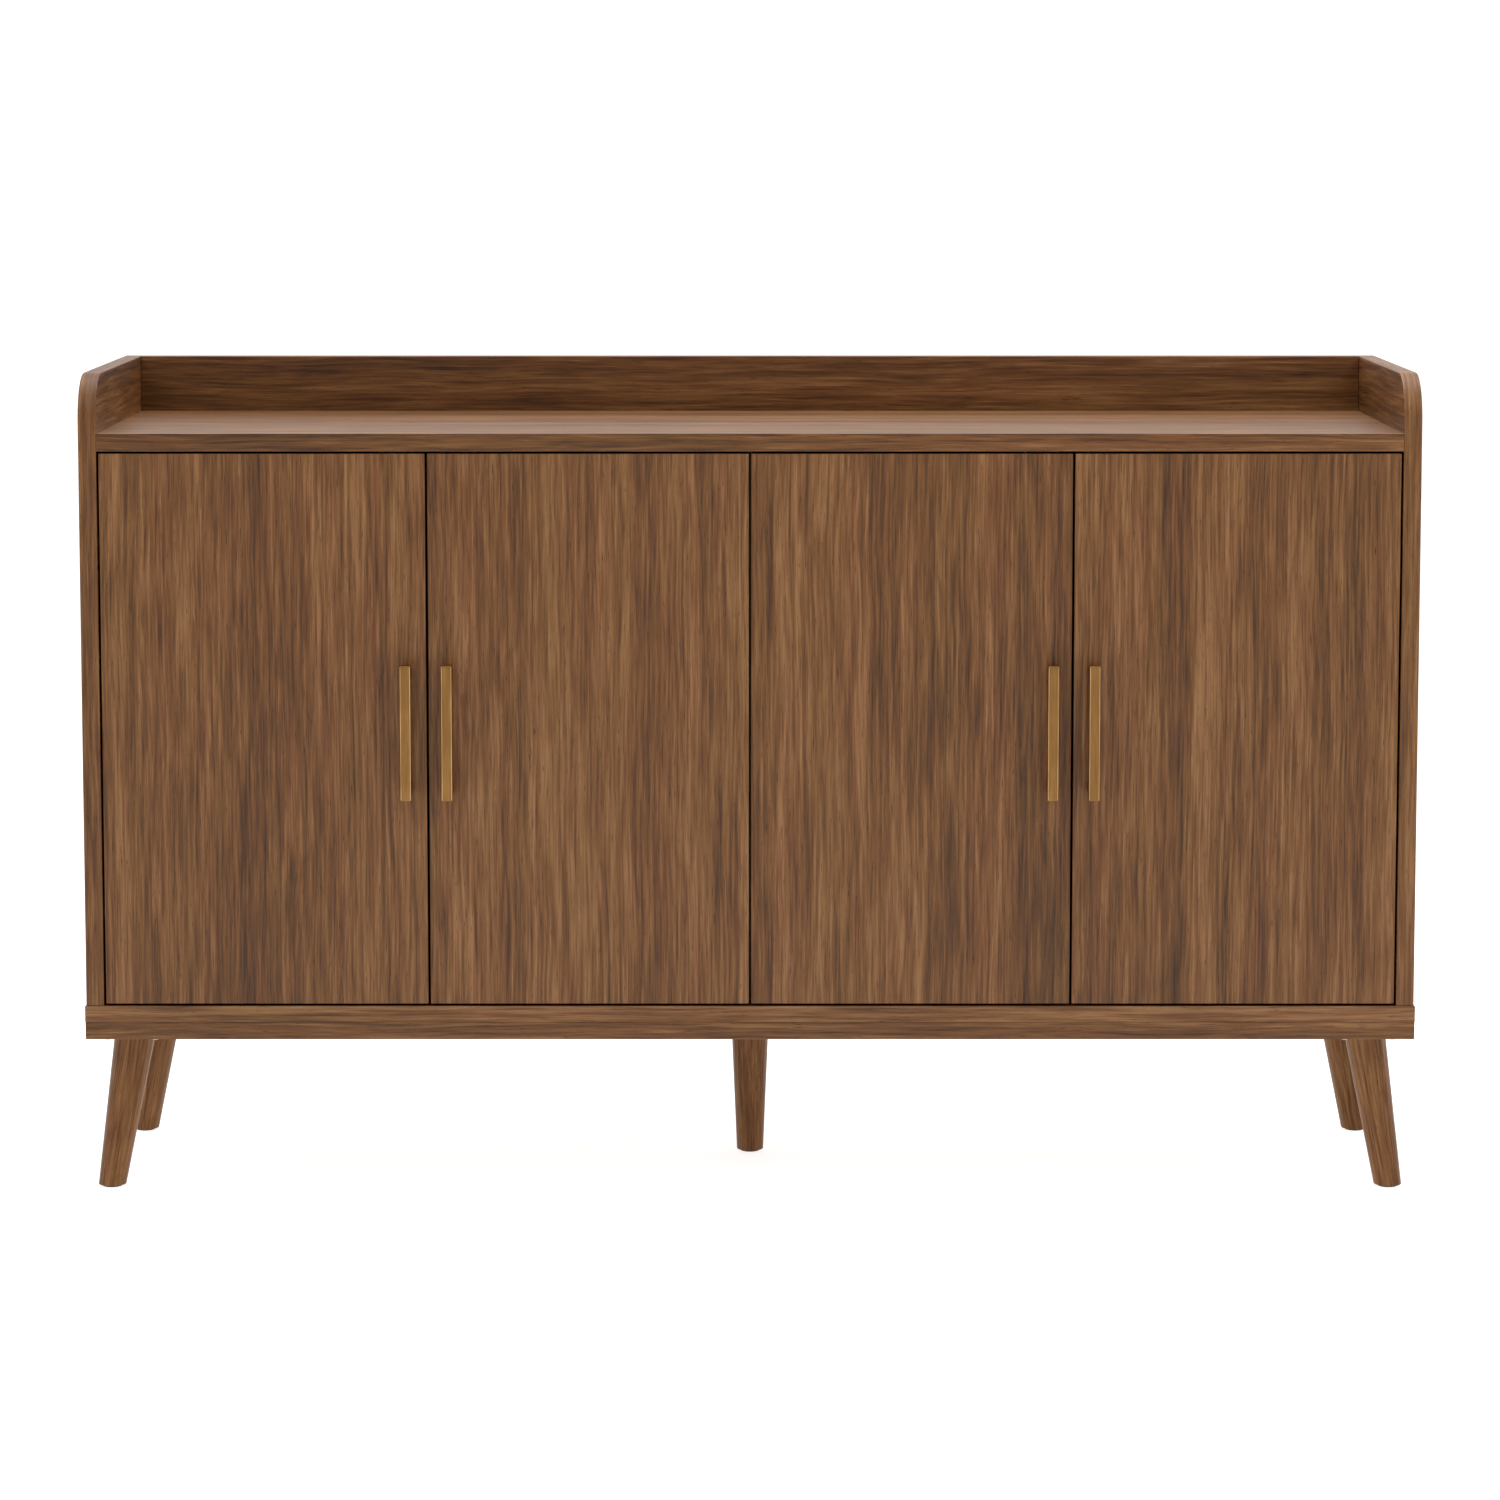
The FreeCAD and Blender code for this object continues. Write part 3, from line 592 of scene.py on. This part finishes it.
for number, (door, on_left) in enumerate(hung_left.items()):
    low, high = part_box(door + "_panel")
    panel = add_block(door + "_panel_veneered", low, high)
    ease(panel, door_ease)
    cup_x = low.x + cup_from_edge if on_left else high.x - cup_from_edge
    for z in (low.z + hinge_inset, high.z - hinge_inset):
        bpy.ops.object.select_all(action="DESELECT")
        bpy.ops.mesh.primitive_cylinder_add(
            vertices=64, radius=cup_radius, depth=2 * cup_depth, location=(cup_x, high.y, z),
            rotation=(math.pi / 2, 0, 0))
        cut(panel, bpy.context.object)
    dress(panel.data.polygons, 1, "z")
    dress(panel.data.polygons, 2, "x")
    leaf = walnut("walnut_veneer_" + door, "z", 110.0 + 13.7 * number, leaf_shades[door])
    fit(panel, door, "walnut", [leaf, door_ends_painted_shade, door_edges_painted_shade], door + "_panel")

# ---- Hinges and catches -------------------------------------------------------------------------
# Concealed hinges: pressed cups in the doors, pins, bent arms and screwed-on plates, all nickel
# plated. At the top a magnet in a black case holds a small steel plate on each door.

nickel = plated_steel("nickel_plated_steel", "#d6d1c8", "#bdb7ad", 0.26)
refinish(nickel, "hinge_arms", "hinge_plates", "fitting_screws")
for door in hung_left:
    for fitting in ("_hinge_cups", "_hinge_pins", "_strike_plate", "_screws"):
        refinish(nickel, door + fitting)
refinish(black_plastic, "door_catches")

# ---- Handles ------------------------------------------------------------------------------------
# A 12 mm square bar on two square posts, of satin brass brushed along its length. Every edge is
# broken 1.1 mm, and the bar's long side edges are drawn a little brighter, a painted highlight.

handle_ease = 0.0011


def brushed_brass(name, lift=0.0):
    """Satin brass brushed lengthways: scratches drawn 0.6 mm wide and 40 mm long, finer in truth.

    lift brightens the metal: a painted highlight, used on the bar's long side edges.
    """
    material = new_material(name)
    place = add_node(material, "ShaderNodeTexCoord").outputs["Object"]
    scratches = figure(material, place, (0.6, 0.6, 40), 6.0, 3.0)
    tarnish = figure(material, place, (9, 9, 45), 12.0)
    scratched = add_node(material, "ShaderNodeMath", {0: scratches, 1: 0.6, 2: lift},
                         operation="MULTIPLY_ADD")
    tone = add_node(material, "ShaderNodeMath", {0: tarnish, 1: 0.4, 2: scratched.outputs["Value"]},
                    operation="MULTIPLY_ADD")
    relief = add_node(material, "ShaderNodeBump", {
        "Height": scratches, "Strength": 0.3, "Distance": 0.00005})
    polish = add_node(material, "ShaderNodeMapRange", {
        "Value": tarnish, "To Min": 0.28, "To Max": 0.42})
    colour = add_node(material, "ShaderNodeValToRGB", {"Fac": tone.outputs["Value"]}, stops=(
        (0.3, "#7a5730"), (0.55, "#8d683c"), (0.7, "#a57d4c"), (1.0, "#e0b884")))
    return surface(material, Base_Color=colour.outputs["Color"], Metallic=1.0,
                   Roughness=polish.outputs["Result"], Normal=relief.outputs["Normal"])


flat_enough = 0.99  # a normal whose largest part is over this belongs to a flat face, not an edge
brass = brushed_brass("satin_brass_brushed")
brass_edge_highlight = brushed_brass("satin_brass_painted_edge_highlight", lift=0.32)
handle_low, handle_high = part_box("door_1_handle")
bar_thick = handle_high.x - handle_low.x
post_from_end = 0.006
bar_high = Vector((handle_high.x, handle_low.y + bar_thick, handle_high.z))
first_handle = add_block("door_1_handle_brushed", handle_low, bar_high)
bpy.ops.object.mode_set(mode="EDIT")
for level in (handle_low.z + post_from_end, handle_low.z + post_from_end + bar_thick,
              handle_high.z - post_from_end - bar_thick, handle_high.z - post_from_end):
    bpy.ops.mesh.select_all(action="SELECT")
    bpy.ops.mesh.bisect(plane_co=(0, 0, level), plane_no=(0, 0, 1))
bpy.ops.mesh.select_all(action="DESELECT")
bpy.ops.mesh.select_mode(type="FACE")
bpy.ops.object.mode_set(mode="OBJECT")
for face in first_handle.data.polygons:
    from_end = min(face.center.z - handle_low.z, handle_high.z - face.center.z)
    face.select = face.normal.y > 0.9 and post_from_end < from_end < post_from_end + bar_thick
bpy.ops.object.mode_set(mode="EDIT")
bpy.ops.mesh.extrude_region_move(TRANSFORM_OT_translate={"value": (0, handle_high.y - bar_high.y, 0)})
bpy.ops.object.mode_set(mode="OBJECT")
ease(first_handle, handle_ease, segments=4)
# the long side edges take the brighter brass: a painted highlight
for face in first_handle.data.polygons:
    on_edge = max(abs(part) for part in face.normal) < flat_enough
    face.material_index = 1 if on_edge and abs(face.normal.z) < 0.1 else 0
handles = {"door_1": first_handle}
for door in ("door_2", "door_3", "door_4"):
    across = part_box(door + "_handle")[0] - handle_low
    handles[door] = copy_piece(first_handle, door + "_handle_brushed", shift=across)
for door, handle in handles.items():
    fit(handle, door, "brass", [brass, brass_edge_highlight], door + "_handle")

# ---- Floor, light and camera --------------------------------------------------------------------
# A pale floor of lit opal sheet, as on a product table, in a white room that is dimmer behind the
# camera, with two soft boxes at the front and one overhead.

low, high = cad_box
middle = (low + high) / 2
floor_size = 80.0
bpy.ops.object.select_all(action="DESELECT")
bpy.ops.mesh.primitive_plane_add(size=floor_size, location=(0, 0, low.z))
floor = bpy.context.object
floor.name = "floor"
opal = new_material("opal_acrylic_floor")
floor_place = add_node(opal, "ShaderNodeTexCoord").outputs["Object"]
clouding = figure(opal, floor_place, (400, 400, 400), 1.0)
floor_tone = add_node(opal, "ShaderNodeValToRGB", {"Fac": clouding}, stops=(
    (0.3, "#c4c4c4"), (0.7, "#c8c8c8")))
surface(opal, Base_Color=floor_tone.outputs["Color"], Roughness=0.9,
        Emission_Color=(1, 1, 1, 1), Emission_Strength=0.845)
floor.data.materials.append(opal)

room = bpy.data.worlds.new("white_room")
room.use_nodes = True
room.node_tree.nodes.clear()
direction = add_node(room, "ShaderNodeTexCoord").outputs["Generated"]
towards_back = add_node(room, "ShaderNodeSeparateXYZ", {"Vector": direction}).outputs["Y"]
dimmed = add_node(room, "ShaderNodeMapRange", {
    "Value": towards_back, "From Min": -0.5, "From Max": 0.4, "To Min": 0.23, "To Max": 0.96})
seen = add_node(room, "ShaderNodeLightPath").outputs["Is Camera Ray"]
strength = add_node(room, "ShaderNodeMix", {
    "Factor": seen, "A": dimmed.outputs["Result"], "B": 1.05})
white = add_node(room, "ShaderNodeBackground", {
    "Color": (1, 1, 1, 1), "Strength": strength.outputs["Result"]})
add_node(room, "ShaderNodeOutputWorld", {"Surface": white.outputs["Background"]})
bpy.context.scene.world = room

soft_boxes = (("soft_box_left", (-1.9, -2.0, 2.7), 1.5, 22.0),
              ("soft_box_right", (1.9, -2.0, 2.7), 1.5, 25.0),
              ("soft_box_top", (0.0, 0.2, 3.2), 2.4, 66.0))
for name, place, size, power in soft_boxes:
    bpy.ops.object.light_add(type="AREA", location=place)
    lamp = bpy.context.object
    lamp.name = name
    lamp.data.size = size
    lamp.data.energy = power
    lamp.rotation_euler = (middle - Vector(place)).to_track_quat("-Z", "Y").to_euler()

camera_distance = 5.176
camera_height = 1.228
pitch_down = math.radians(5.90)
sensor = 36.0
focal_share = 2.9953  # focal length over the sensor's width
bpy.ops.object.camera_add(location=(middle.x, -camera_distance, camera_height),
                          rotation=(math.pi / 2 - pitch_down, 0, 0))
camera = bpy.context.object
camera.data.sensor_width = sensor
camera.data.lens = sensor * focal_share
camera.data.shift_y = -0.12
bpy.context.scene.camera = camera
bpy.context.scene.view_settings.view_transform = "Standard"
